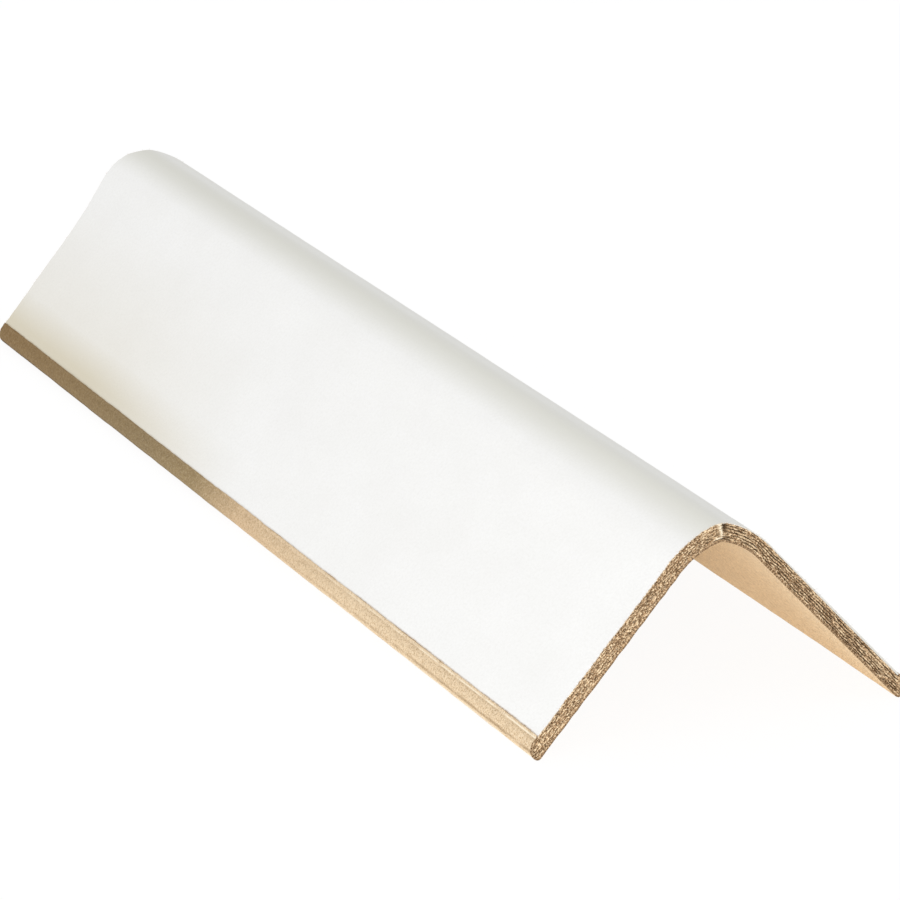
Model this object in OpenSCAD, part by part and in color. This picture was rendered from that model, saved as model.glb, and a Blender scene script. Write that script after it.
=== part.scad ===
// Pallet edge protector: a laminated paperboard angle that sits over the corner of a load
// under its straps. Plies of board are glued into one V-shaped core. A white paper faces the
// outside, and a kraft paper lines the inside, turns round both long edges and laps a little
// way up the outside.
//
// Frame: the length runs along Y, the ridge of the V points up +Z, and the two long edges
// stand on Z = 0. The origin is under the middle of the board.

/* [Angle board] */
// Length of the board along its ridge, mm
length = 250; // [100:10:2000]
// Outside width of each leg, from the sharp corner of the two outer faces to the edge, mm
leg_w = 50; // [35:1:120]
// Thickness of the finished board, papers included, mm
board_t = 2.9; // [2:0.1:6]
// Angle between the two legs, degrees
opening_angle = 84.5; // [75:0.5:105]

/* [Bend] */
// Inside radius of the shoulder on each side of the ridge, mm
bend_in_r = 14.2; // [8:0.2:20]
// Slope of each shoulder where the two meet in the soft crease along the ridge, degrees
crease_slope = 12; // [4:1:20]

/* [Papers] */
// Thickness of the white facing and of the kraft liner, mm
paper_t = 0.3; // [0.2:0.05:0.5]
// Width of the kraft lap on each outer face, measured from the edge, mm
lap_w = 3.1; // [3:0.1:8]

/* [Long edges] */
// Rounding of the outer corner of each long edge, mm
edge_out_r = 2; // [1:0.1:2.6]
// Rounding of the inner corner of each long edge, mm
edge_in_r = 0.8; // [0.6:0.1:1]
// Least flat that stays between the two roundings of a long edge, mm
edge_flat_min = 0.1; // [0.05:0.05:0.4]

/* [Hidden] */
$fn = 96;

white_colour = "#ecebe6";
kraft_colour = "#d9b98f";
ply_colour = "#b08a68";

// Outside radius of the shoulders, and how far each shoulder's centre lies past the middle
bend_r = bend_in_r + board_t;
centre_x = bend_r * sin(crease_slope);

// Angle that each leg turns down from the level
leg_slope = 90 - opening_angle / 2;

// Height of the sharp corner of the outer faces above the shoulders' centres
corner_rise = (bend_r - centre_x * sin(leg_slope)) / cos(leg_slope);

// The part of the leg's outside width that the bend takes, and the flat that is left
bend_reach = corner_rise * sin(leg_slope) - centre_x * cos(leg_slope);
flat_w = leg_w - bend_reach;

// The outer rounding leaves room for the inner one and the flat within the board
edge_r = min(edge_out_r, board_t - edge_in_r - edge_flat_min);

// Height of the shoulders' centres above the surface that the inner corners of the edges rest on
edge_drop = (flat_w - edge_in_r) * sin(leg_slope) - (bend_in_r + edge_in_r) * cos(leg_slope);
centre_height = edge_drop + edge_in_r;

// A wedge long enough to hold every arc of radius r between two directions
module wedge(r, from, to) {
    reach = 2 * r;
    polygon([
        [0, 0],
        [reach * cos(from), reach * sin(from)],
        [reach * cos(to), reach * sin(to)]
    ]);
}

// The part of a ring between two directions
module arc_band(r_out, r_in, from, to) {
    intersection() {
        difference() {
            circle(r_out);
            circle(r_in);
        }
        wedge(r_out, from, to);
    }
}

// A quarter of a disc, towards +X and +Y
module quarter_disc(r) {
    intersection() {
        circle(r);
        square(r);
    }
}

// A layer of the board between two depths below the outer face: a shoulder up to the ridge, and
// the child as the flat of the leg. Each half is drawn about its shoulder's centre, with X along
// the flat towards the edge and Y out through the outer face, and is cut off at the middle.
module folded_layer(top, bottom) {
    half_space = 2 * leg_w;
    for (side = [0, 1])
        mirror([side, 0])
            intersection() {
                translate([-centre_x, 0])
                    rotate(-leg_slope) {
                        arc_band(bend_r - top, bend_r - bottom, 90, 90 + leg_slope);
                        children();
                    }
                translate([0, -half_space])
                    square([half_space, 2 * half_space]);
            }
}

// A strip of a leg's flat between two depths, as wide as w
module flat_layer(top, bottom, w) {
    translate([0, bend_r - bottom])
        square([w, bottom - top]);
}

// A leg's flat with its rounded long edge, drawn in from the surface all round by inset
module flat_with_edge(inset) {
    top = inset;
    bottom = board_t - inset;
    end = flat_w - inset;
    r_out = edge_r - inset;
    r_in = edge_in_r - inset;
    flat_layer(top, bottom, end - r_out);
    translate([end - r_out, bend_r - top - r_out])
        quarter_disc(r_out);
    translate([end - r_out, bend_r - bottom + r_in])
        square([r_out, bottom - top - r_out - r_in]);
    translate([end - r_out, bend_r - bottom])
        square([r_out - r_in, r_in]);
    translate([end - r_in, bend_r - bottom + r_in])
        mirror([0, 1])
            quarter_disc(r_in);
}

// Runs a 2D section along the board's length and stands it on its edges
module along_length() {
    translate([0, 0, centre_height])
        rotate([90, 0, 0])
            linear_extrude(length, center = true)
                children();
}

// All the glued plies between the two papers
module ply_core() {
    color(ply_colour)
        along_length()
            folded_layer(paper_t, board_t - paper_t)
                flat_with_edge(paper_t);
}

// White paper over the bend and both outer faces, as far as the laps
module white_facing() {
    color(white_colour)
        along_length()
            folded_layer(0, paper_t)
                flat_layer(0, paper_t, flat_w - lap_w);
}

// Kraft paper over the inside, round both long edges and up to the facing
module kraft_liner() {
    color(kraft_colour)
        along_length()
            folded_layer(board_t - paper_t, board_t)
                difference() {
                    flat_with_edge(0);
                    flat_with_edge(paper_t);
                    flat_layer(0, paper_t, flat_w - lap_w);
                }
}

ply_core();
white_facing();
kraft_liner();
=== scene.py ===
# %% [markdown]
# # Dressing a pallet edge protector
#
# An edge protector is a length of laminated paperboard, folded into a V and laid over the corner
# of a load so that the straps don't cut in. It is one glued piece, but three papers show: a white
# facing outside, a kraft liner inside, and between them the cut ends of many brown plies.
# The frame brings the plain solids at their real size. Each step below replaces one of them with a
# mesh that has the paper's own edges, waves and fibres, and gives it a finish made from nodes.

# %% Load the fixed frame
import math

import bmesh
import bpy
import numpy as np
from mathutils import Matrix, Vector


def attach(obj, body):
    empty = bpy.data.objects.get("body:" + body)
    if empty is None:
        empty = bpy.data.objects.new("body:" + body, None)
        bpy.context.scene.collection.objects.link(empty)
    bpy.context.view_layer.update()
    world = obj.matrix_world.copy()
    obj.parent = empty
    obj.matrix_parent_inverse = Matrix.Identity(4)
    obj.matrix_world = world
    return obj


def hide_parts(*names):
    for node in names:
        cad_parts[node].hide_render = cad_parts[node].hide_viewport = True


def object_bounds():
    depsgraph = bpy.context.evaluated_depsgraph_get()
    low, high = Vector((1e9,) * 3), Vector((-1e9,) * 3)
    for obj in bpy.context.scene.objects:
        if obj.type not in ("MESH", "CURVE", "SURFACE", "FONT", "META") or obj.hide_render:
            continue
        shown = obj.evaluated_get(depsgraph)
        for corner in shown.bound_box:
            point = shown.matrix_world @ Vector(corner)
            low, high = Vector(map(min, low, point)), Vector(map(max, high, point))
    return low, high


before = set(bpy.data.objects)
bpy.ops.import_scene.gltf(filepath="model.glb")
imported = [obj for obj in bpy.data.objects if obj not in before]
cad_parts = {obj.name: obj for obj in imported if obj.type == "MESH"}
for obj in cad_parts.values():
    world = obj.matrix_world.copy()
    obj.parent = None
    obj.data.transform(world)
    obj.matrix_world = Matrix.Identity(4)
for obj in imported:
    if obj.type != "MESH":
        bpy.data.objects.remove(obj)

cad_low, cad_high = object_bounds()
length = cad_high.y - cad_low.y
print("nodes:", sorted(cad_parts), "box in mm:", [round(1000 * v, 2) for v in cad_high - cad_low])

# %% [markdown]
# ## The section of the board
#
# Everything on this object follows one curve: the section of the outer face. It could be drawn as
# a curve object and swept, but then the papers, plies and laps would each need their own path.
# Here the curve is worked out once, as points with a slope at each, so that any layer is the same
# curve moved inwards by its depth. The slope grows along two shoulders, and a soft crease is
# added where they meet at the ridge.

# %% Sizes of the board
MM = 0.001
leg_w = 50 * MM
board_t = 2.9 * MM
paper_t = 0.3 * MM
lap_w = 3.1 * MM
edge_out_r = 2.0 * MM
edge_in_r = 0.8 * MM
bend_r = 14.2 * MM + board_t
crease_slope = math.radians(12)
leg_slope = math.radians(90 - 84.5 / 2)
crease_soft = 0.95 * MM

centre_x = bend_r * math.sin(crease_slope)
corner_rise = (bend_r - centre_x * math.sin(leg_slope)) / math.cos(leg_slope)
bend_reach = corner_rise * math.sin(leg_slope) - centre_x * math.cos(leg_slope)
flat_w = leg_w - bend_reach
edge_drop = (flat_w - edge_in_r) * math.sin(leg_slope)
edge_drop -= (bend_r - board_t + edge_in_r) * math.cos(leg_slope)
centre_height = edge_drop + edge_in_r

along_leg = np.array([math.cos(leg_slope), -math.sin(leg_slope)])
out_of_leg = np.array([math.sin(leg_slope), math.cos(leg_slope)])
leg_start = np.array([-centre_x, centre_height]) + bend_r * out_of_leg
print("flat of each leg in mm:", round(flat_w / MM, 2))

# %% The curve of the outer face
bend_s = bend_r * (leg_slope - crease_slope)
curve_s = np.linspace(0, leg_w + bend_s, 6000)
curve_slope = crease_slope * np.tanh(curve_s / crease_soft) + curve_s / bend_r
curve_slope = np.minimum(curve_slope, leg_slope)
step = curve_s[1]
curve_x = np.concatenate([[0], np.cumsum(np.cos((curve_slope[1:] + curve_slope[:-1]) / 2) * step)])
curve_z = -np.concatenate([[0], np.cumsum(np.sin((curve_slope[1:] + curve_slope[:-1]) / 2) * step)])

# The curve is raised until its straight part lies on the leg's outer face
bend_end = np.array([np.interp(bend_s, curve_s, curve_x), np.interp(bend_s, curve_s, curve_z)])
curve_z += (leg_start - bend_end) @ out_of_leg / out_of_leg[1]
bend_end[1] = np.interp(bend_s, curve_s, curve_z)
leg_offset = (bend_end - leg_start) @ along_leg
flat_end_s = bend_s + flat_w - leg_offset
lap_s = flat_end_s - lap_w


def section_point(s, depth):
    """Point (x, z) at distance s along the outer face from the ridge, that deep in the board."""
    side = np.where(s < 0, -1.0, 1.0)
    a = np.abs(s)
    slope = np.interp(a, curve_s, curve_slope)
    x = np.interp(a, curve_s, curve_x) - depth * np.sin(slope)
    z = np.interp(a, curve_s, curve_z) - depth * np.cos(slope)
    return side * x, z


print("ridge height in mm:", round(float(section_point(np.zeros(1), 0)[1][0]) / MM, 3))

# %% [markdown]
# ## Where the real board strays
#
# A board that was folded, glued and sawn isn't a perfect extrusion. On this one the right leg is
# pinched in at the near end, the ridge is swollen along its near half, the left shoulder grows
# rounder towards the far end, and the far cut of the left leg is out of square. A lattice could
# bend the finished meshes, but each layer would then bend on its own. Here one function gives the
# shift at any place in the board, and all the layers ask it, so they stay together. The core has
# points at its two ends only, so a shift that is more than a sheet is thick must grow evenly from
# end to end, or the core would come through the paper.

# %% Shift at any place in the board
def smooth(value, start, end):
    """0 before start, 1 after end and smooth between."""
    t = np.clip((value - start) / (end - start), 0, 1)
    return t * t * (3 - 2 * t)


def hump(value, middle, half_width):
    """1 at the middle, falling to nearly 0 at twice the half width."""
    return np.exp(-(((value - middle) / half_width) ** 2))


def unevenness(s, y, depth):
    """How far a point of the real board lies from a perfect extrusion: along x, y and z."""
    a = np.abs(s)
    near_part = 1 - smooth(y, -0.5 * length, -0.38 * length)
    pinched = -0.25 * MM * smooth(s, 3 * MM, 13 * MM) * near_part
    fuller = 2.2 * MM * hump(a, 8.5 * MM, 6.5 * MM)
    shorter = 2.2 * MM * np.clip((a - 12 * MM) / (30 * MM), 0, 1)
    left_leg = 1 - smooth(s, -4 * MM, 0)
    out_of_square = (fuller - shorter) * left_leg * smooth(y, 0.24 * length, 0.5 * length)
    near_half = 1 - 0.7 * smooth(y, -0.1 * length, 0.4 * length)
    swollen = 0.25 * MM * hump(s, 0, 6 * MM) * near_half * (1 - np.clip(depth / board_t, 0, 1))
    rounder = 0.70 * MM * hump(s, -4 * MM, 4 * MM) * np.clip(y / length + 0.5, 0, 1)
    return pinched - 0.45 * rounder, out_of_square, swollen + 0.9 * rounder


def placed(x, y, z, s, depth):
    """Points with the board's unevenness added."""
    dx, dy, dz = unevenness(s, y, depth)
    return np.stack(np.broadcast_arrays(x + dx, y + dy, z + dz), -1)


far_shoulder = unevenness(-4 * MM, length / 2, 0)
print("far left shoulder strays by mm:", [round(float(v) / MM, 2) for v in far_shoulder])

# %% [markdown]
# ## Two helpers: grain and closed shells
#
# Paper is never quite regular, so most steps need smooth random numbers. Blender's noise textures
# would do for colour, but here vertices move too, so `grain` makes seeded value noise with numpy.
# `closed_shell` joins two grids of points along their borders. A sheet of paper is such a shell
# (front and back), and so is the core (near end and far end), so one helper makes them all.

# %% Seeded grain
TABLE = 256


def grain(a, b, cell_a, cell_b, seed):
    """Smooth random values from -1 to 1 over a surface, with one new value per cell."""
    table = np.random.default_rng(seed).uniform(-1, 1, (TABLE, TABLE))
    ga, gb = np.broadcast_arrays(a / cell_a, b / cell_b)
    ia, ib = np.floor(ga).astype(int), np.floor(gb).astype(int)
    fa, fb = ga - ia, gb - ib
    fa, fb = fa * fa * (3 - 2 * fa), fb * fb * (3 - 2 * fb)
    near = table[ia % TABLE, ib % TABLE] * (1 - fa) + table[(ia + 1) % TABLE, ib % TABLE] * fa
    far = table[ia % TABLE, (ib + 1) % TABLE] * (1 - fa) + table[(ia + 1) % TABLE, (ib + 1) % TABLE] * fa
    return near * (1 - fb) + far * fb


trial = grain(np.linspace(0, 9, 200), 0.5, 1, 1, 10)
print("grain runs from", round(trial.min(), 2), "to", round(trial.max(), 2))


# %% Closed shells
def closed_shell(name, front, back, uv, marks, sharp_deg=35):
    """One closed mesh of two grids joined along their borders, with a UV map and named values."""
    rows, cols = front.shape[:2]
    count = rows * cols
    index = np.arange(count).reshape(rows, cols)
    quads = np.stack([index[:-1, :-1], index[:-1, 1:], index[1:, 1:], index[1:, :-1]], -1).reshape(-1, 4)
    border = np.concatenate([index[0, :-1], index[:-1, -1], index[-1, :0:-1], index[:0:-1, 0]])
    after = np.roll(border, -1)
    rim = np.stack([after, border, border + count, after + count], -1)
    faces = np.concatenate([quads, quads[:, ::-1] + count, rim])
    points = np.concatenate([front.reshape(-1, 3), back.reshape(-1, 3)])
    mesh = bpy.data.meshes.new(name)
    mesh.from_pydata(points.tolist(), [], faces.tolist())
    layer = mesh.uv_layers.new(name="paper_mm")
    corner = np.empty(len(mesh.loops), dtype=np.int32)
    mesh.loops.foreach_get("vertex_index", corner)
    both = np.concatenate([uv.reshape(-1, 2), uv.reshape(-1, 2)]) / MM
    layer.data.foreach_set("uv", both[corner].astype(np.float32).ravel())
    for mark, value in marks.items():
        layer_of_values = mesh.attributes.new(mark, "FLOAT", "POINT")
        flat = np.broadcast_to(value, (rows, cols)).reshape(-1)
        layer_of_values.data.foreach_set("value", np.concatenate([flat, flat]).astype(np.float32))
    tidy = bmesh.new()
    tidy.from_mesh(mesh)
    bmesh.ops.recalc_face_normals(tidy, faces=tidy.faces)
    tidy.to_mesh(mesh)
    tidy.free()
    mesh.polygons.foreach_set("use_smooth", np.ones(len(mesh.polygons), dtype=bool))
    mesh.set_sharp_from_angle(angle=math.radians(sharp_deg))
    piece = bpy.data.objects.new(name, mesh)
    bpy.context.scene.collection.objects.link(piece)
    print(name, "has", 2 * len(mesh.polygons), "triangles")
    return piece


def rows_along(end_zone, fine, coarse):
    """Places along the length, closer together near the two cut ends, with a lip at the cut."""
    half = length / 2
    middle = np.linspace(-half + end_zone, half - end_zone, int(round((length - 2 * end_zone) / coarse)))
    tail = np.linspace(0, end_zone, int(round(end_zone / fine)), endpoint=False)
    tail = np.insert(tail, 1, 0.06 * MM)
    return np.concatenate([-half + tail, middle, (half - tail)[::-1]])


def at_the_cut(y):
    """1 on the cut edge of a sheet and 0 a hair behind it."""
    return smooth(np.abs(y), length / 2 - 0.05 * MM, length / 2)


# %% [markdown]
# ## Helpers for finishes
#
# All three finishes are node materials on one Principled shader. Textures read the UV map
# `paper_mm`, which holds millimetres across and along the sheet, so a fibre has its real size
# on the flat and round the bend alike. Object coordinates would be simpler, but they would cut
# through the fold at an angle.

# %% Node helpers
def new_finish(name, roughness, specular):
    """A material with a Principled shader; returns the material, its tree and the shader."""
    finish = bpy.data.materials.new(name)
    finish.use_nodes = True
    shader = finish.node_tree.nodes["Principled BSDF"]
    shader.inputs["Roughness"].default_value = roughness
    shader.inputs["Specular IOR Level"].default_value = specular
    return finish, finish.node_tree, shader


def add(tree, kind, **settings):
    """A new node with its plain properties set."""
    node = tree.nodes.new(kind)
    for key, value in settings.items():
        setattr(node, key, value)
    return node


def paper_place(tree, scale_across, scale_along):
    """Millimetres across and along the sheet, stretched for a texture."""
    place = add(tree, "ShaderNodeUVMap", uv_map="paper_mm")
    stretch = add(tree, "ShaderNodeMapping")
    stretch.inputs["Scale"].default_value = (scale_across, scale_along, 1)
    tree.links.new(place.outputs["UV"], stretch.inputs["Vector"])
    return stretch.outputs["Vector"]


def noise(tree, across, along, detail=3.0, rough=0.55):
    """Noise with a given number of cells per millimetre across and along the sheet."""
    texture = add(tree, "ShaderNodeTexNoise")
    texture.inputs["Scale"].default_value = 1.0
    texture.inputs["Detail"].default_value = detail
    texture.inputs["Roughness"].default_value = rough
    tree.links.new(paper_place(tree, across, along), texture.inputs["Vector"])
    return texture.outputs["Fac"]


def spread(tree, value, low, high, to_low=0.0, to_high=1.0):
    """Maps a value from one range to another and stops at its ends."""
    node = add(tree, "ShaderNodeMapRange", clamp=True)
    for name, number in (("From Min", low), ("From Max", high), ("To Min", to_low), ("To Max", to_high)):
        node.inputs[name].default_value = number
    tree.links.new(value, node.inputs["Value"])
    return node.outputs["Result"]


def marked(tree, name):
    """A value that was stored on the mesh under this name."""
    return add(tree, "ShaderNodeAttribute", attribute_name=name).outputs["Fac"]


def times(tree, a, b):
    """Product of two values; the second may be a number."""
    node = add(tree, "ShaderNodeMath", operation="MULTIPLY")
    tree.links.new(a, node.inputs[0])
    if isinstance(b, (int, float)):
        node.inputs[1].default_value = b
    else:
        tree.links.new(b, node.inputs[1])
    return node.outputs["Value"]


def tint(tree, base, colour, amount):
    """Lays a colour over a base, which is a colour or another node's output, by an amount."""
    node = add(tree, "ShaderNodeMix", data_type="RGBA")
    tree.links.new(amount, node.inputs["Factor"])
    if isinstance(base, tuple):
        node.inputs["A"].default_value = (*base, 1)
    else:
        tree.links.new(base, node.inputs["A"])
    node.inputs["B"].default_value = (*colour, 1)
    return node.outputs["Result"]


def shade(tree, base, colour, amount):
    """Multiplies a base by a colour, by an amount, so that dark and light parts keep their hue."""
    node = add(tree, "ShaderNodeMix", data_type="RGBA", blend_type="MULTIPLY")
    tree.links.new(amount, node.inputs["Factor"])
    tree.links.new(base, node.inputs["A"])
    node.inputs["B"].default_value = (*colour, 1)
    return node.outputs["Result"]


def blend_by(tree, first, second, amount):
    """Goes from one colour output to another by an amount."""
    node = add(tree, "ShaderNodeMix", data_type="RGBA")
    tree.links.new(amount, node.inputs["Factor"])
    tree.links.new(first, node.inputs["A"])
    tree.links.new(second, node.inputs["B"])
    return node.outputs["Result"]


def along_sheet(tree):
    """Millimetres along the length, from the middle of the board."""
    place = add(tree, "ShaderNodeUVMap", uv_map="paper_mm")
    parts = add(tree, "ShaderNodeSeparateXYZ")
    tree.links.new(place.outputs["UV"], parts.inputs["Vector"])
    return parts.outputs["Y"]


def raise_bumps(tree, shader, height, strength, distance):
    """Bump on the shader from a height value, that many metres high."""
    node = add(tree, "ShaderNodeBump")
    node.inputs["Strength"].default_value = strength
    node.inputs["Distance"].default_value = distance
    tree.links.new(height, node.inputs["Height"])
    tree.links.new(node.outputs["Normal"], shader.inputs["Normal"])


print("finish helpers ready")

# %% [markdown]
# ## The white facing
#
# The facing is a sheet of white paper glued over the outside. A plain extruded strip would look
# like plastic: real facing paper has a faint cockle from the glue, a cut lower edge that isn't
# quite straight, and ends trimmed with the board. So the sheet is a grid that follows the section
# curve, with slow waves of a few hundredths of a millimetre, and its lower edge wanders.

# %% Places across and along the facing
def spaced(start, end, gap):
    """Even places from start to end, about gap apart."""
    return np.linspace(start, end, max(2, int(round((end - start) / gap)) + 1))


def across_both(half):
    """Mirrors places on one side of the ridge to the other."""
    return np.concatenate([-half[:0:-1], half])


def facing_depth(s):
    """Thickness of the facing, which was pressed thin on the left leg."""
    past_ridge = 0.08 * MM * smooth(s, 1 * MM, 9 * MM)
    down_right_leg = 0.10 * MM * smooth(s, 14 * MM, 30 * MM)
    return 0.14 * MM + past_ridge + down_right_leg


facing_half = np.concatenate([
    spaced(0, bend_s, 0.45 * MM)[:-1],
    spaced(bend_s, lap_s - 1.0 * MM, 1.2 * MM)[:-1],
    spaced(lap_s - 1.0 * MM, lap_s, 0.2 * MM),
])
facing_s = across_both(facing_half)[None, :]
facing_y = rows_along(2 * MM, 0.4 * MM, 1.25 * MM)[:, None]
print("facing grid:", facing_y.size, "rows of", facing_s.size)

# %% Waves and cuts of the facing
cut_wander = 0.10 * MM * grain(facing_y, np.sign(facing_s), 6 * MM, 1, 11)
cut_wander += 0.07 * MM * grain(facing_y, np.sign(facing_s), 0.9 * MM, 1, 12)
near_lap = smooth(np.abs(facing_s), lap_s - 1.0 * MM, lap_s)
sheet_s = facing_s + np.sign(facing_s) * cut_wander * near_lap
cockle = 0.030 * MM * grain(facing_s, facing_y, 11 * MM, 23 * MM, 13)
cockle += 0.012 * MM * grain(facing_s, facing_y, 3.5 * MM, 6 * MM, 14)
fold_crinkle = 0.010 * MM * grain(facing_s, facing_y, 1.1 * MM, 2.6 * MM, 15)
fold_crinkle *= 1 - smooth(np.abs(facing_s), 0.6 * bend_s, 1.3 * bend_s)
trim = 0.16 * MM * smooth(grain(facing_s, np.sign(facing_y), 0.5 * MM, 1, 16), -0.2, 1.0)
trim = trim * smooth(np.abs(facing_y), length / 2 - 0.5 * MM, length / 2)
print("cockle of the facing in mm:", round(np.ptp(cockle) / MM, 3))


# %% Mesh of the white facing
def sheet_grid(s, y, depth):
    """Points of a sheet at that depth, for places across and along."""
    s, y, depth = np.broadcast_arrays(s, y, depth)
    x, z = section_point(s, depth)
    return placed(x, y, z, s, depth)


trimmed_y = facing_y * np.ones_like(facing_s) - np.sign(facing_y) * trim
facing_front = sheet_grid(sheet_s, trimmed_y, -(cockle + fold_crinkle) + 0.02 * MM)
facing_back = sheet_grid(sheet_s, trimmed_y, facing_depth(sheet_s))
facing_uv = np.stack(np.broadcast_arrays(sheet_s, facing_y), -1)
on_right = smooth(facing_s, 1 * MM, 9 * MM)
facing_marks = {
    "lap_edge": near_lap,
    "soiled_cut": at_the_cut(facing_y) * (1 - 0.85 * on_right),
    # Grey on the facing's cut edge on the right leg: painted shade.
    "right_cut_shade": at_the_cut(facing_y) * on_right,
    "from_ridge": np.abs(facing_s) / MM,
    # Grey along the fold: painted shade, partly the paper rubbed grey.
    "ridge_rub_and_shade": np.interp(facing_s / MM, [-7, -3, -1, 0, 2, 5, 9, 16],
                            [0, 0.72, 0.9, 0.75, 0.35, 0.4, 0.3, 0]),
}
white_facing = closed_shell("white_facing_paper", facing_front, facing_back, facing_uv, facing_marks)
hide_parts("white_facing")
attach(white_facing, "root")

# %% [markdown]
# ## Finish of the white paper
#
# White facing paper is matte and nearly neutral, with cloudy patches where the sheet is thinner.
# A thin brown line of painted shadow lies where the kraft lap begins. Over the fold the paper is
# rubbed grey and carries painted shade. Towards the far end of the lap it carries a painted warm
# shade, tinted by light thrown back from the kraft. An image could hold these marks, but values
# stored on the mesh, such as the distance from the ridge, stay sharp close up and need no file.
# A flat white would hide the fold, so the clouds stay faint and the tooth is a very low bump.

# %% White paper nodes
def white_paper_finish():
    finish, tree, shader = new_finish("white_facing_finish", 0.80, 0.08)
    clouds = spread(tree, noise(tree, 0.09, 0.05, 4.0, 0.6), 0.35, 0.70)
    colour = tint(tree, (0.925, 0.925, 0.914), (0.898, 0.896, 0.882), clouds)
    tooth = spread(tree, noise(tree, 2.2, 1.5, 4.0, 0.65), 0.42, 0.72, 0.0, 0.42)
    colour = tint(tree, colour, (0.810, 0.805, 0.785), tooth)
    # Grey over the fold: painted shade, partly the paper rubbed grey.
    colour = tint(tree, colour, (0.768, 0.764, 0.702), marked(tree, "ridge_rub_and_shade"))
    # Cream low on the leg and beside the lap towards the far end: painted warm shade, tinted by light
    # thrown back from the kraft.
    warm_shade_colour = (0.690, 0.635, 0.500)
    low_down = spread(tree, marked(tree, "from_ridge"), 14, 37)
    wide_warm_shade = times(tree, times(tree, low_down, spread(tree, along_sheet(tree), 15, 75)), 0.32)
    colour = tint(tree, colour, warm_shade_colour, wide_warm_shade)
    by_the_lap = spread(tree, marked(tree, "from_ridge"), 36.5, 42.5)
    lap_warm_shade = times(tree, times(tree, by_the_lap, spread(tree, along_sheet(tree), 5, 80)), 0.90)
    colour = tint(tree, colour, warm_shade_colour, lap_warm_shade)
    # Thin brown line where the kraft lap begins: painted shadow under the lip, strongest at the near end.
    ragged = spread(tree, noise(tree, 1.2, 1.6, 3.0, 0.6), 0.30, 0.65, 0.25, 1.0)
    lap_line_shadow = times(tree, spread(tree, marked(tree, "lap_edge"), 0.80, 0.97), ragged)
    lap_line_shadow = times(tree, lap_line_shadow, spread(tree, along_sheet(tree), -120, -20, 0.85, 0.30))
    colour = tint(tree, colour, (0.420, 0.270, 0.140), lap_line_shadow)
    # Grey on the facing's cut edge on the right leg: painted shade.
    colour = tint(tree, colour, (0.650, 0.650, 0.615), marked(tree, "right_cut_shade"))
    soiled = spread(tree, noise(tree, 2.2, 1.0, 3.0, 0.6), 0.38, 0.58)
    colour = tint(tree, colour, (0.560, 0.440, 0.320), times(tree, marked(tree, "soiled_cut"), soiled))
    tree.links.new(colour, shader.inputs["Base Color"])
    raise_bumps(tree, shader, noise(tree, 1.6, 1.1, 5.0, 0.6), 0.40, 0.00009)
    return finish


white_facing.data.materials.append(white_paper_finish())
print("white paper on", white_facing.name)

# %% [markdown]
# ## The kraft liner
#
# The liner is one sheet of brown paper: it covers the inside, turns round each long edge and laps
# a few millimetres up the outside, where its lip lies on the white. It could be three strips, but
# a sheet that really turns round the edge keeps the fibre running and catches the light along the
# rounding. The path below lists the section points of the sheet's visible side from the ridge
# inside, round the edge, to the lip, with a direction out of the board at each point.

# %% Path of the liner's visible side
def on_leg(u, v):
    """Point (x, z) at u along the flat of the right leg and v below its outer face."""
    return leg_start + np.outer(u, along_leg) - np.outer(v, out_of_leg)


inner_s = np.concatenate([
    spaced(0, bend_s, 0.6 * MM)[:-1],
    spaced(bend_s, flat_end_s - edge_in_r, 1.3 * MM),
])
inner_x, inner_z = section_point(inner_s, board_t)
inner_slope = np.interp(inner_s, curve_s, curve_slope)
inner_out = -np.stack([np.sin(inner_slope), np.cos(inner_slope)], -1)
inner_turn = np.radians(np.linspace(15, 90, 6))
outer_turn = np.radians(np.linspace(0, 90, 19))
lip_over = 0.02 * MM
lip_start = flat_w - lap_w - lip_over
lap_u = np.concatenate([
    spaced(lip_start + 0.6 * MM, flat_w - edge_out_r, 0.25 * MM)[-2::-1],
    spaced(lip_start, lip_start + 0.6 * MM, 0.12 * MM)[-2::-1],
])
path = np.concatenate([
    np.stack([inner_x, inner_z], -1),
    on_leg(flat_w - edge_in_r + edge_in_r * np.sin(inner_turn),
           board_t - edge_in_r + edge_in_r * np.cos(inner_turn)),
    on_leg(flat_w - edge_out_r + edge_out_r * np.cos(outer_turn),
           edge_out_r - edge_out_r * np.sin(outer_turn)),
    on_leg(lap_u, np.zeros(len(lap_u))),
])
path_out = np.concatenate([
    inner_out,
    np.outer(np.sin(inner_turn), along_leg) - np.outer(np.cos(inner_turn), out_of_leg),
    np.outer(np.cos(outer_turn), along_leg) + np.outer(np.sin(outer_turn), out_of_leg),
    np.tile(out_of_leg, (len(lap_u), 1)),
])
path_q = np.concatenate([[0], np.cumsum(np.linalg.norm(np.diff(path, axis=0), axis=1))])
edge_turn = np.degrees(np.concatenate([
    np.full(len(inner_s), -math.pi / 2),
    inner_turn - math.pi / 2,
    outer_turn,
    np.full(len(lap_u), math.pi),
]))
round_start = path_q[len(inner_s) - 1]
round_end = path_q[len(inner_s) + len(inner_turn) + len(outer_turn) - 1]
lip_q = path_q[-1]
print("liner from ridge to lip in mm:", round(lip_q / MM, 2))

# %% Zones of the liner
liner_q = across_both(path_q)[None, :]
liner_y = rows_along(2 * MM, 0.4 * MM, 1.25 * MM)[:, None]
mirror_x = np.array([-1.0, 1.0])
liner_path = np.concatenate([path[:0:-1] * mirror_x, path])[None]
liner_out = np.concatenate([path_out[:0:-1] * mirror_x, path_out])[None]
side = np.sign(liner_q)
on_lip = smooth(np.abs(liner_q), lip_q - 1.0 * MM, lip_q)
on_edge = smooth(np.abs(liner_q), round_start - 0.6 * MM, round_start + 0.4 * MM)
on_edge = on_edge * (1 - smooth(np.abs(liner_q), round_end - 0.8 * MM, round_end + 0.2 * MM))
print("liner grid:", liner_y.size, "rows of", liner_q.size)

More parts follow.
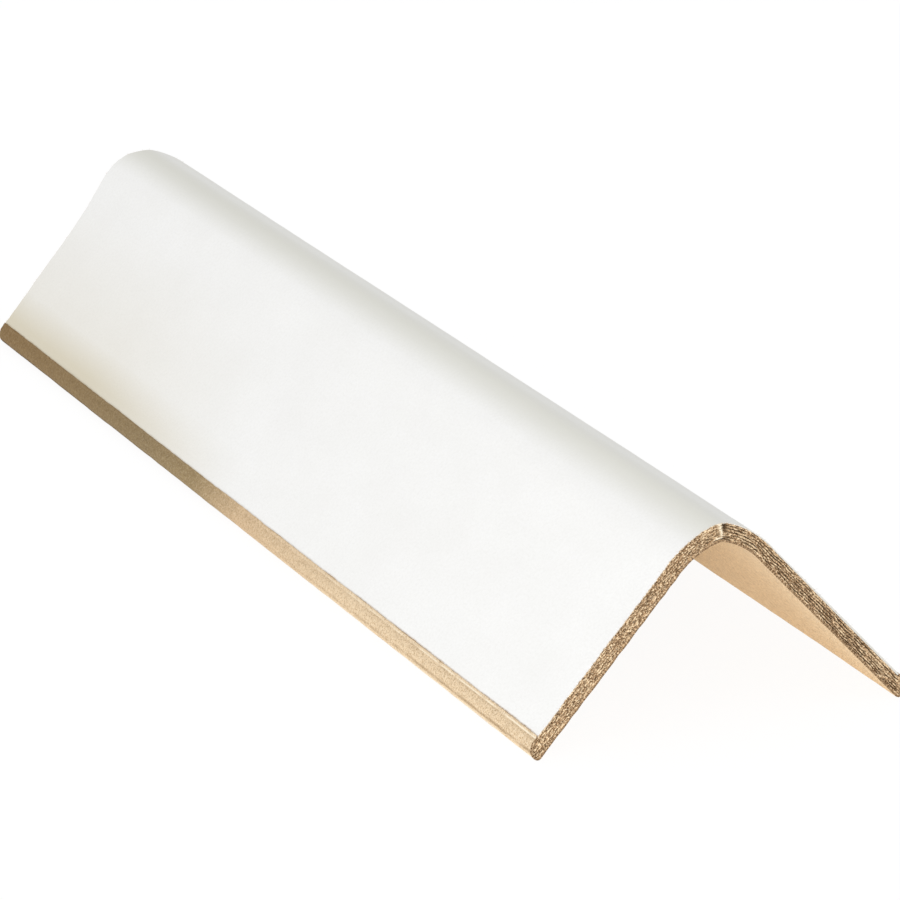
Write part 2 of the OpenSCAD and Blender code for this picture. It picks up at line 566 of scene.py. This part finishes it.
# %% Waves, dents and the ragged lip
swell = 0.020 * MM * grain(liner_q, liner_y, 12 * MM, 26 * MM, 21)
swell = swell + 0.012 * MM * grain(liner_q, liner_y, 3 * MM, 7 * MM, 22)
dents = 0.035 * MM * grain(liner_q, liner_y, 1.6 * MM, 3.5 * MM, 23) * on_edge
lip_rise = 0.10 * MM * on_lip
lip_ragged = 0.035 * MM * grain(side, liner_y, 1, 1.3 * MM, 24)
lip_ragged = lip_ragged + 0.06 * MM * grain(side, liner_y, 1, 19 * MM, 25)
lip_nick = 0.16 * MM * np.clip(grain(side, liner_y, 1, 1.6 * MM, 26) - 0.70, 0, 1) / 0.30
lip_shift = (lip_ragged - lip_nick) * on_lip
print("the lip wanders by mm:", round(np.ptp(lip_shift) / MM, 3))

# %% Front and back of the liner
back_from_lip = np.where(side[..., None] < 0, along_leg * mirror_x, along_leg)
liner_xz = liner_path + liner_out * (swell + dents + lip_rise)[..., None]
liner_xz = liner_xz - back_from_lip * lip_shift[..., None]
liner_back_xz = liner_path - liner_out * (paper_t * (1 - on_lip))[..., None]
liner_back_xz = liner_back_xz - back_from_lip * lip_shift[..., None]
liner_trim = 0.20 * MM * smooth(grain(liner_q, np.sign(liner_y), 0.5 * MM, 1, 27), -0.4, 1.0)
liner_trim = liner_trim * smooth(np.abs(liner_y), length / 2 - 0.5 * MM, length / 2)
liner_rows = liner_y * np.ones_like(liner_q) - np.sign(liner_y) * liner_trim
path_s = bend_s - leg_offset + (path - leg_start) @ along_leg
path_s[:len(inner_s)] = inner_s
liner_s = across_both(path_s)[None, :]


def with_length(xz, y):
    """Section points with their place along the length put between x and z."""
    resting_z = np.maximum(xz[..., 1], -0.045 * MM)
    return placed(xz[..., 0], y, resting_z, liner_s, board_t)


print("liner spans mm:", round(np.ptp(liner_xz[..., 0]) / MM, 2))

# %% Worn places of the liner
turned = np.concatenate([edge_turn[:0:-1], edge_turn])[None, :]
outside = smooth(turned, -60, -10)
tip_line = 1 - smooth(np.abs(turned - 2), 14, 30)
fold_line = 1 - smooth(np.abs(turned - 44), 3, 12)
below_lip = lip_q - np.abs(liner_q)
lip_line = smooth(below_lip, 0.20 * MM, 0.36 * MM) * (1 - smooth(below_lip, 0.46 * MM, 0.62 * MM))
under_lip = smooth(below_lip, 0.50 * MM, 0.68 * MM) * (1 - smooth(below_lip, 0.72 * MM, 0.95 * MM))
# Paler line at the lip: broken fibre of the cut edge, with a painted highlight where the lip's edge faces
# the light.
lip_wear_and_highlight = lip_line * smooth(grain(liner_q, liner_y, 1 * MM, 2.2 * MM, 29), -1.1, 0.0)
# Round the tip: towards the near end a paler worn line with a painted highlight, towards the far end
# painted shade.
tip_wear_and_light = tip_line * smooth(grain(liner_q, liner_y, 0.7 * MM, 3.5 * MM, 28), -1.1, 0.2)
# Darker lines under the lip and round the bend of the edge: painted shade in the creases.
fold_painted_shade = np.maximum(under_lip, fold_line)
fold_painted_shade = fold_painted_shade * smooth(grain(liner_q, liner_y, 0.5 * MM, 2.5 * MM, 30), -1.0, 0.4)
# The inside is marked less near the inner crease, so the painted light laid on it below stays away from
# the crease.
inner_leg = (0.3 + 0.7 * smooth(np.abs(liner_s), 5 * MM, 25 * MM)) * (1 - outside)
liner_marks = {
    "lip_wear_and_highlight": lip_wear_and_highlight,
    "fold_painted_shade": fold_painted_shade,
    "tip_wear_and_light": tip_wear_and_light,
    "outer_lap": outside,
    "inner_leg": inner_leg,
    "cut_end": at_the_cut(liner_y),
}
print("marks on the liner:", ", ".join(liner_marks))

# %% Mesh of the kraft liner
liner_uv = np.stack(np.broadcast_arrays(liner_q, liner_y), -1)
kraft_liner = closed_shell(
    "kraft_liner_paper", with_length(liner_xz, liner_rows), with_length(liner_back_xz, liner_rows),
    liner_uv, liner_marks)
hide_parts("kraft_liner")
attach(kraft_liner, "root")

# %% [markdown]
# ## Finish of the kraft paper
#
# Kraft is unbleached pulp: warm tan, cloudy at the scale of a fingertip, with fibres that run
# along the length and a scatter of darker and paler flecks. A colour ramp along the length takes
# the lap from light tan at the near end to dark brown at the far end, and part of that darkening
# is painted shade. Where the sheet turns round the tip or ends in a lip its fibres are broken and
# paler, with painted highlights on them, while the tip towards the far end and the folds carry
# painted shade. A noise can't know where an edge is, so the mesh carries values for the tip, the
# lip and the folds, and another marks the inside, where paler mottle adds painted light that is
# weaker towards the inner crease.

# %% Kraft paper nodes
def kraft_finish():
    finish, tree, shader = new_finish("kraft_liner_finish", 0.82, 0.2)
    clouds = spread(tree, noise(tree, 0.10, 0.06, 3.0, 0.55), 0.30, 0.70)
    colour = tint(tree, (0.900, 0.715, 0.485), (0.840, 0.655, 0.435), clouds)
    # Darker towards the far end along the lap; part of this darkening is painted shade of the far lower
    # corner.
    lap_tone_and_shade = add(tree, "ShaderNodeValToRGB")
    tree.links.new(spread(tree, along_sheet(tree), -125, 125), lap_tone_and_shade.inputs["Fac"])
    lap_stops = lap_tone_and_shade.color_ramp.elements
    lap_stops[0].position = 0.30
    lap_stops[0].color = (0.820, 0.640, 0.428, 1)
    lap_stops[1].color = (0.258, 0.164, 0.069, 1)
    lap_stops.new(0.49).color = (0.670, 0.490, 0.302, 1)
    lap_stops.new(0.58).color = (0.345, 0.250, 0.125, 1)
    lap_stops.new(0.68).color = (0.290, 0.210, 0.106, 1)
    colour = blend_by(tree, colour, lap_tone_and_shade.outputs["Color"], marked(tree, "outer_lap"))
    # Paler mottle on the inside, which also brightens it as painted light, less near the inner crease.
    inner_mottle_and_light = spread(tree, noise(tree, 0.9, 0.65, 3.0, 0.6), 0.38, 0.60, 0.0, 0.95)
    inside = marked(tree, "inner_leg")
    colour = tint(tree, colour, (0.990, 0.775, 0.510), times(tree, inner_mottle_and_light, inside))
    inner_dark = spread(tree, noise(tree, 1.2, 0.9, 3.0, 0.65), 0.50, 0.66, 0.0, 0.70)
    colour = shade(tree, colour, (0.74, 0.70, 0.64), times(tree, inner_dark, inside))
    mottle = spread(tree, noise(tree, 0.75, 0.55, 4.0, 0.6), 0.42, 0.72, 0.0, 0.45)
    colour = shade(tree, colour, (0.70, 0.66, 0.60), mottle)
    strands = spread(tree, noise(tree, 2.0, 1.5, 4.0, 0.75), 0.46, 0.64, 0.0, 0.72)
    colour = shade(tree, colour, (0.70, 0.66, 0.60), strands)
    speckle = spread(tree, noise(tree, 4.0, 3.0, 1.0, 0.5), 0.50, 0.62, 0.0, 0.95)
    near_by = spread(tree, along_sheet(tree), -120, 60, 0.95, 0.15)
    colour = shade(tree, colour, (0.74, 0.68, 0.60), times(tree, speckle, near_by))
    by_the_cut = spread(tree, along_sheet(tree), -115, 0, 0.85, 0.0)
    flecks = spread(tree, noise(tree, 2.4, 2.0, 3.0, 0.7), 0.50, 0.64, 0.0, 0.60)
    colour = tint(tree, colour, (0.930, 0.790, 0.590), times(tree, flecks, near_by))
    # Darker under the lip and in the bend of the edge: painted shade.
    colour = shade(tree, colour, (0.52, 0.46, 0.38), times(tree, marked(tree, "fold_painted_shade"), by_the_cut))
    # Paler lip: broken fibre with a painted highlight.
    colour = tint(tree, colour, (0.940, 0.840, 0.660), times(tree, marked(tree, "lip_wear_and_highlight"), by_the_cut))
    # Paler tip towards the near end: worn fibre with a painted highlight.
    near_tip_highlight = spread(tree, along_sheet(tree), -125, 20, 0.70, 0.0)
    colour = tint(tree, colour, (0.940, 0.850, 0.680), times(tree, marked(tree, "tip_wear_and_light"), near_tip_highlight))
    # Darker tip towards the far end: painted shade.
    far_tip_shade = spread(tree, along_sheet(tree), 0, 120, 0.0, 0.7)
    colour = shade(tree, colour, (0.40, 0.38, 0.36), times(tree, marked(tree, "tip_wear_and_light"), far_tip_shade))
    cut_fibre = spread(tree, noise(tree, 3.5, 1.0, 3.0, 0.6), 0.46, 0.62)
    cut_colour = tint(tree, (0.150, 0.085, 0.038), (0.580, 0.400, 0.240), cut_fibre)
    colour = blend_by(tree, colour, cut_colour, marked(tree, "cut_end"))
    tree.links.new(colour, shader.inputs["Base Color"])
    raise_bumps(tree, shader, noise(tree, 2.2, 0.9, 5.0, 0.65), 0.45, 0.00010)
    return finish


kraft_liner.data.materials.append(kraft_finish())
print("kraft paper on", kraft_liner.name)

# %% [markdown]
# ## The core of glued plies
#
# Between the papers lie plies of recycled board. Only their cut ends show, and there the saw has
# left wavy lines, open glue lines and torn fibre. A picture of stripes would go flat in a close
# view, so each end of the core is a fine grid whose rows follow the plies: the rows between two
# plies sink into the board as grooves, and the faces of the plies are rough. At the crease the saw
# tore a burr loose, which is the same grid raised into a flap, with a gash and a crack beside it.

# %% Rows of the core
plies = 6
core_top, core_bottom = 0.14 * MM, board_t - paper_t
row_shares = np.array([0.0, 0.09, 0.20, 0.31, 0.43, 0.57, 0.69, 0.80, 0.91])
row_ply = np.append(np.repeat(np.arange(plies), len(row_shares)), plies)
row_share = np.append(np.tile(row_shares, plies), 0.0)
core_cols = np.linspace(-1, 1, 781)


def core_reach(depth):
    """Distance from the ridge at which the core ends at that depth, under the rounded edge."""
    r_out, r_in = edge_out_r - paper_t, edge_in_r - paper_t
    into_out = np.clip(core_top + r_out - depth, 0, r_out)
    into_in = np.clip(depth - (core_bottom - r_in), 0, r_in)
    cut = r_out - np.sqrt(r_out ** 2 - into_out ** 2) + r_in - np.sqrt(r_in ** 2 - into_in ** 2)
    return flat_end_s - paper_t - cut


def ply_line(s, number, seed):
    """Depth of the glue line above a ply, which wanders along the section with its neighbours."""
    inside = np.clip(np.minimum(number, plies - number), 0, 1)
    in_the_middle = number * (plies - number) / (plies / 2) ** 2
    wander = 0.15 * MM * in_the_middle * grain(s, 0.3, 2.4 * MM, 1, seed + 12)
    wander = wander + 0.065 * MM * grain(s, number, 2.6 * MM, 1, seed)
    wander = wander + 0.035 * MM * grain(s, number, 0.8 * MM, 1, seed + 1)
    top = facing_depth(s)
    return top + number * (core_bottom - top) / plies + inside * wander


print("plies:", plies, "rows in each cut end:", len(row_ply))

# %% Mesh of the core
def core_end(y_end, seed, burr):
    """Grid of one cut end, with its tone and groove values. A burr stands at the crease."""
    flat_depth = core_top + (row_ply + row_share)[:, None] * (core_bottom - core_top) / plies
    s = core_cols[None, :] * core_reach(flat_depth)
    number = row_ply[:, None].astype(float)
    over, under = ply_line(s, number, seed), ply_line(s, np.minimum(number + 1, plies), seed)
    depth = over + row_share[:, None] * (under - over)
    to_right = smooth(s, -9 * MM, 9 * MM) if burr == 1.0 else 0.5

    line = (row_ply + (row_share > 0.5))[:, None]
    by_line = np.abs(row_share - np.round(row_share))[:, None]
    groove = np.interp(by_line, [0.0, 0.09, 0.20, 0.31], [1.0, 0.85, 0.25, 0.0])
    groove = groove * ((line > 0) & (line < plies))
    groove = groove * smooth(grain(s, line, 1.1 * MM, 1, seed + 2), -1.0, 0.15) * (0.52 + 0.48 * to_right)
    mid_ply = np.interp(by_line, [0.20, 0.31, 0.43], [0.0, 0.5, 1.0])
    pale = mid_ply * smooth(grain(s, number + 0.5, 1.5 * MM, 1, seed + 6), 0.0, 0.6)
    pale = pale * (0.25 + 0.6 * to_right)

    strands = 0.45 * grain(s, depth, 0.45 * MM, 0.09 * MM, seed + 4)
    strands = strands + 0.85 * grain(s, depth, 0.17 * MM, 0.10 * MM, seed + 5)
    pit = smooth(-strands, 0.12, 0.40) * (0.82 - 0.02 * to_right)
    torn = smooth(strands, 0.14, 0.42) * (1 - 0.25 * to_right)

    slant = -0.20 * MM + 0.30 * (depth - 0.2 * MM) + 0.08 * MM * grain(depth, 0.5, 0.4 * MM, 1, seed + 11)
    flap = burr * hump(s, slant, 0.40 * MM) * (1 - smooth(depth, 2.1 * MM, 2.4 * MM))
    gash = burr * hump(s, slant + 1.0 * MM, 0.52 * MM) * (1 - smooth(depth, 0.9 * MM, 1.9 * MM))
    peeled = burr * hump(depth, 2.30 * MM, 0.12 * MM)
    peeled = peeled * smooth(s, -1.9 * MM, -1.2 * MM) * (1 - smooth(s, 0.3 * MM, 0.9 * MM))
    crack = burr * hump(depth, 2.48 * MM, 0.07 * MM)
    crack = crack * smooth(s, -2.2 * MM, -1.5 * MM) * (1 - smooth(s, 2.2 * MM, 3.2 * MM))
    pale_burr = np.maximum(flap * (0.7 + 0.3 * smooth(strands, -0.5, 0.3)), peeled)

    shy = 0.10 * MM * (1 + grain(s, number + 0.5, 6 * MM, 1, seed + 3)) / 2
    sunk = 0.16 * MM + shy + 0.22 * MM * pit + 0.30 * MM * groove - 0.12 * MM * torn
    sunk = np.maximum(sunk - 0.25 * MM * pale_burr + 0.40 * MM * np.maximum(gash, crack), -0.15 * MM)
    tone = 0.66 - 0.06 * to_right + 0.09 * grain(s, number + 0.5, 5 * MM, 1, seed + 7)
    tone = tone + 0.22 * grain(s, depth, 0.6 * MM, 0.16 * MM, seed + 8)
    # The near-black mark also takes the pits, gash and crack, where it is painted shade in the hollows.
    groove = np.maximum(np.maximum(groove, 0.85 * pit) * (1 - pale_burr), np.maximum(gash, crack))
    torn = np.maximum(np.maximum(torn, pale) * (1 - np.maximum(gash, crack)), pale_burr)
    x, z = section_point(s, depth)
    points = placed(x, y_end, z, s, depth)
    points = points - np.sign(y_end) * sunk[..., None] * np.array([0.0, 1.0, 0.0])
    marks = {"tone": tone, "groove": groove, "torn": torn, "burr": pale_burr}
    return points, np.stack([s, depth], -1), marks


near_end, core_uv, near_marks = core_end(-length / 2, 31, 1.0)
far_end, _, far_marks = core_end(length / 2, 51, 0.5)
ply_core = closed_shell("ply_core_board", near_end, far_end, core_uv, near_marks, sharp_deg=60)
for mark, value in far_marks.items():
    stored = np.concatenate([near_marks[mark].ravel(), value.ravel()]).astype(np.float32)
    ply_core.data.attributes[mark].data.foreach_set("value", stored)
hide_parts("ply_core")
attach(ply_core, "root")

# %% [markdown]
# ## Finish of the cut plies
#
# Recycled board mixes pale and dark pulp, so no two plies match. The mesh stores a tone for each
# ply and marks the open glue lines, the torn fibres and the burr, which is bare pulp and nearly
# white. Their near black is partly dark glue and partly painted shade in the open lines, pits,
# gash and crack. The nodes turn those values into browns, and fine streaks along the plies break
# up what the grid is too coarse to show.

# %% Ply nodes
def ply_finish():
    finish, tree, shader = new_finish("cut_ply_finish", 0.9, 0.15)
    tones = add(tree, "ShaderNodeValToRGB")
    tones.color_ramp.elements[0].color = (0.235, 0.132, 0.060, 1)
    tones.color_ramp.elements[1].color = (0.670, 0.445, 0.255, 1)
    middle = tones.color_ramp.elements.new(0.5)
    middle.color = (0.440, 0.275, 0.148, 1)
    tree.links.new(marked(tree, "tone"), tones.inputs["Fac"])
    streaks = spread(tree, noise(tree, 2.0, 7.5, 2.0, 0.5), 0.46, 0.58, 0.0, 0.62)
    colour = tint(tree, tones.outputs["Color"], (0.160, 0.085, 0.033), streaks)
    crumbs = spread(tree, noise(tree, 3.6, 8.5, 1.0, 0.5), 0.51, 0.62, 0.0, 0.70)
    colour = tint(tree, colour, (0.840, 0.600, 0.360), crumbs)
    colour = tint(tree, colour, (0.940, 0.752, 0.500), times(tree, marked(tree, "torn"), 0.95))
    # Near black in the glue lines, pits, gash and crack: dark glue, with painted shade in the hollows.
    colour = tint(tree, colour, (0.045, 0.024, 0.009), times(tree, marked(tree, "groove"), 0.9))
    colour = tint(tree, colour, (0.970, 0.890, 0.720), marked(tree, "burr"))
    tree.links.new(colour, shader.inputs["Base Color"])
    raise_bumps(tree, shader, noise(tree, 4.0, 14.0, 5.0, 0.7), 0.5, 0.00008)
    return finish


ply_core.data.materials.append(ply_finish())
print("cut plies on", ply_core.name)

# %% [markdown]
# ## Loose fibres on the cut
#
# A saw leaves fuzz on paperboard: short hairs that stand out of the cut and round the outer border
# of the section. Hair particles could do this, but they aren't meshes and would be lost outside
# Blender, so each fibre is a thin three-sided tube that bends once and tapers to a point.

# %% Mesh of the fibres
def fibre_starts(count, seed):
    """Random starts on a cut end: distance from the ridge, depth, and whether on the outer border."""
    rng = np.random.default_rng(seed)
    on_border = rng.random(count) < 0.45
    depth = np.where(on_border, rng.uniform(0.10, 0.40, count), rng.uniform(0.4, 2.7, count)) * MM
    s = rng.uniform(-1, 1, count) * (flat_end_s - 2.2 * MM)
    return s, depth, on_border, rng


def fibre_mesh(count, y_end, seed):
    """Points and faces of the fibres on one end."""
    s, depth, on_border, rng = fibre_starts(count, seed)
    x, z = section_point(s, depth)
    x_next, z_next = section_point(s + 0.01 * MM, depth)
    run = np.stack([x_next - x, np.zeros(count), z_next - z], -1) / (0.01 * MM)
    rise = np.stack([-run[:, 2], np.zeros(count), run[:, 0]], -1)
    off_end = np.array([0.0, np.sign(y_end), 0.0])
    points, faces = [], []
    for i in range(count):
        start = placed(x[i], y_end - 0.25 * MM * np.sign(y_end), z[i], s[i], depth[i])
        lean = rng.uniform(-1, 1)
        out_share = rng.uniform(0.6, 1.2) if on_border[i] else rng.uniform(-0.2, 0.2)
        heading = run[i] * lean + rise[i] * out_share + off_end * rng.uniform(0.25, 0.8)
        heading = heading / np.linalg.norm(heading)
        curl = np.cross(heading, rng.normal(size=3))
        curl = curl / np.linalg.norm(curl) * rng.uniform(0.1, 0.4)
        reach_of_it = rng.uniform(0.35, 0.85) * MM
        thick = rng.uniform(0.012, 0.022) * MM
        across = np.cross(heading, [0.3, 0.5, 0.8])
        across = across / np.linalg.norm(across)
        other = np.cross(heading, across)
        base = len(points)
        for share in (0.0, 0.35, 0.7):
            spine = start + reach_of_it * (heading * share + curl * share * share)
            for turn_share in (0.0, 1 / 3, 2 / 3):
                a = 2 * math.pi * turn_share
                round_it = across * math.cos(a) + other * math.sin(a)
                points.append(spine + thick * (1 - 0.6 * share) * round_it)
        points.append(start + reach_of_it * (heading + curl))
        for ring in (0, 3):
            for k in range(3):
                n = (k + 1) % 3
                faces.append((base + ring + k, base + ring + n, base + ring + 3 + n, base + ring + 3 + k))
        for k in range(3):
            faces.append((base + 6 + k, base + 6 + (k + 1) % 3, base + 9))
        faces.append((base + 2, base + 1, base))
    return points, faces


fibres_per_end = 230
near_points, near_faces = fibre_mesh(fibres_per_end, -length / 2, 71)
far_points, far_faces = fibre_mesh(fibres_per_end, length / 2, 72)
moved = [tuple(v + len(near_points) for v in face) for face in far_faces]
fibre_data = bpy.data.meshes.new("cut_fibres")
fibre_data.from_pydata([tuple(p) for p in near_points + far_points], [], near_faces + moved)
cut_fibres = bpy.data.objects.new("cut_fibres", fibre_data)
bpy.context.scene.collection.objects.link(cut_fibres)
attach(cut_fibres, "root")
print("fibres:", 2 * fibres_per_end, "faces:", len(fibre_data.polygons))

# %% [markdown]
# ## Finish of the fibres
#
# Each hair is bare pulp, some pale and some brown. A colour for each hair would need a list, so a
# noise over the object's own coordinates gives neighbours different tones without one.

# %% Fibre nodes
def fibre_finish():
    finish, tree, shader = new_finish("cut_fibre_finish", 0.9, 0.15)
    texture = add(tree, "ShaderNodeTexNoise")
    texture.inputs["Scale"].default_value = 900.0
    place = add(tree, "ShaderNodeTexCoord")
    tree.links.new(place.outputs["Object"], texture.inputs["Vector"])
    mixed = spread(tree, texture.outputs["Fac"], 0.35, 0.65)
    colour = tint(tree, (0.420, 0.300, 0.200), (0.800, 0.720, 0.610), mixed)
    tree.links.new(colour, shader.inputs["Base Color"])
    return finish


fibre_data.materials.append(fibre_finish())
print("fibre finish on", cut_fibres.name)

# %% [markdown]
# ## The floor
#
# The board stands on a pale floor in a white studio. More light would make the floor white too,
# but it would wash out the paper. So for the camera the floor is mostly plain white, and for the
# object it is a matte surface that throws light back and keeps a faint shadow.

# %% Floor
floor_mesh = bpy.data.meshes.new("studio_floor")
reach = 3.0
floor_corners = [(-reach, -reach, 0), (reach, -reach, 0), (reach, reach, 0), (-reach, reach, 0)]
floor_mesh.from_pydata(floor_corners, [], [(0, 1, 2, 3)])
floor = bpy.data.objects.new("studio_floor", floor_mesh)
floor.location.z = -0.00005
bpy.context.scene.collection.objects.link(floor)


def seen_directly(tree):
    """1 for rays from the camera, in mirrors or through glass, and 0 for light on the object."""
    path_kind = add(tree, "ShaderNodeLightPath")
    total = path_kind.outputs["Is Camera Ray"]
    for other in ("Is Glossy Ray", "Is Transmission Ray"):
        node = add(tree, "ShaderNodeMath", operation="MAXIMUM")
        tree.links.new(total, node.inputs[0])
        tree.links.new(path_kind.outputs[other], node.inputs[1])
        total = node.outputs["Value"]
    return total


def floor_finish():
    finish = bpy.data.materials.new("studio_floor_finish")
    finish.use_nodes = True
    tree = finish.node_tree
    tree.nodes.clear()
    matte = add(tree, "ShaderNodeBsdfPrincipled")
    matte.inputs["Base Color"].default_value = (0.90, 0.90, 0.90, 1)
    matte.inputs["Roughness"].default_value = 1.0
    matte.inputs["Specular IOR Level"].default_value = 0.0
    matte.inputs["Emission Color"].default_value = (1, 1, 1, 1)
    matte.inputs["Emission Strength"].default_value = 0.32
    white = add(tree, "ShaderNodeEmission")
    blend = add(tree, "ShaderNodeMixShader")
    out = add(tree, "ShaderNodeOutputMaterial")
    tree.links.new(times(tree, seen_directly(tree), 0.88), blend.inputs["Fac"])
    tree.links.new(matte.outputs["BSDF"], blend.inputs[1])
    tree.links.new(white.outputs["Emission"], blend.inputs[2])
    tree.links.new(blend.outputs["Shader"], out.inputs["Surface"])
    return finish


floor_mesh.materials.append(floor_finish())
print("floor is", 2 * reach, "m wide")

# %% [markdown]
# ## Light
#
# A photographer would use soft boxes in a white room. A sky texture would colour the paper, so the
# world is an even white fill, and two square lamps from the front left light the outer face and
# the cut end. The levels are low enough that the white paper stays just below pure white.

# %% World and lamps
world = bpy.data.worlds.new("studio_air")
bpy.context.scene.world = world
world.use_nodes = True
air = world.node_tree.nodes["Background"]
air.inputs["Color"].default_value = (1, 1, 1, 1)
fill_level = 0.80
strength = add(world.node_tree, "ShaderNodeMapRange")
strength.inputs["To Min"].default_value = fill_level
strength.inputs["To Max"].default_value = 1.0
world.node_tree.links.new(seen_directly(world.node_tree), strength.inputs["Value"])
world.node_tree.links.new(strength.outputs["Result"], air.inputs["Strength"])


def soft_lamp(name, azimuth, elevation, distance, size, power):
    """A square lamp that looks at the middle of the board from that direction."""
    lamp = bpy.data.lights.new(name, "AREA")
    lamp.shape = "SQUARE"
    lamp.size = size
    lamp.energy = power
    holder = bpy.data.objects.new(name, lamp)
    az, el = math.radians(azimuth), math.radians(elevation)
    back = Vector((math.sin(az) * math.cos(el), -math.cos(az) * math.cos(el), math.sin(el)))
    middle = (cad_low + cad_high) / 2
    holder.location = middle + back * distance
    holder.rotation_euler = (-back).to_track_quat("-Z", "Y").to_euler()
    bpy.context.scene.collection.objects.link(holder)
    return holder


soft_lamp("key_lamp", -62, 24, 1.1, 0.7, 0.7)
soft_lamp("front_lamp", -30, 5, 0.9, 0.3, 2.6)

# %% [markdown]
# ## Camera
#
# The photo was taken from in front, a little to the left and above, with a long lens, so the far
# end looks nearly as large as the near end. The camera could be aimed with a constraint, but three
# directions (right, up and back) written as a matrix also hold the slight roll of the photo.

# %% Camera
view_azimuth, view_elevation, view_roll = (math.radians(a) for a in (-23.275, 18.015, -1.03))
view_distance = 0.9826
aim = (cad_low + cad_high) / 2 + Vector((6.2, -5.1, -7.0)) * MM
back = Vector((math.sin(view_azimuth) * math.cos(view_elevation),
               -math.cos(view_azimuth) * math.cos(view_elevation),
               math.sin(view_elevation)))
level = Vector((math.cos(view_azimuth), math.sin(view_azimuth), 0))
upright = back.cross(level)
right = level * math.cos(view_roll) + upright * math.sin(view_roll)
up = back.cross(right)
lens = bpy.data.cameras.new("photo_camera")
lens.sensor_width = 36.0
lens.lens = 224.8
lens.clip_end = 20
camera = bpy.data.objects.new("photo_camera", lens)
turn = Matrix((right, up, back)).transposed().to_4x4()
camera.matrix_world = Matrix.Translation(aim + back * view_distance) @ turn
bpy.context.scene.collection.objects.link(camera)
bpy.context.scene.camera = camera
bpy.context.scene.view_settings.view_transform = "Standard"
print("camera at", [round(v, 4) for v in camera.matrix_world.translation])
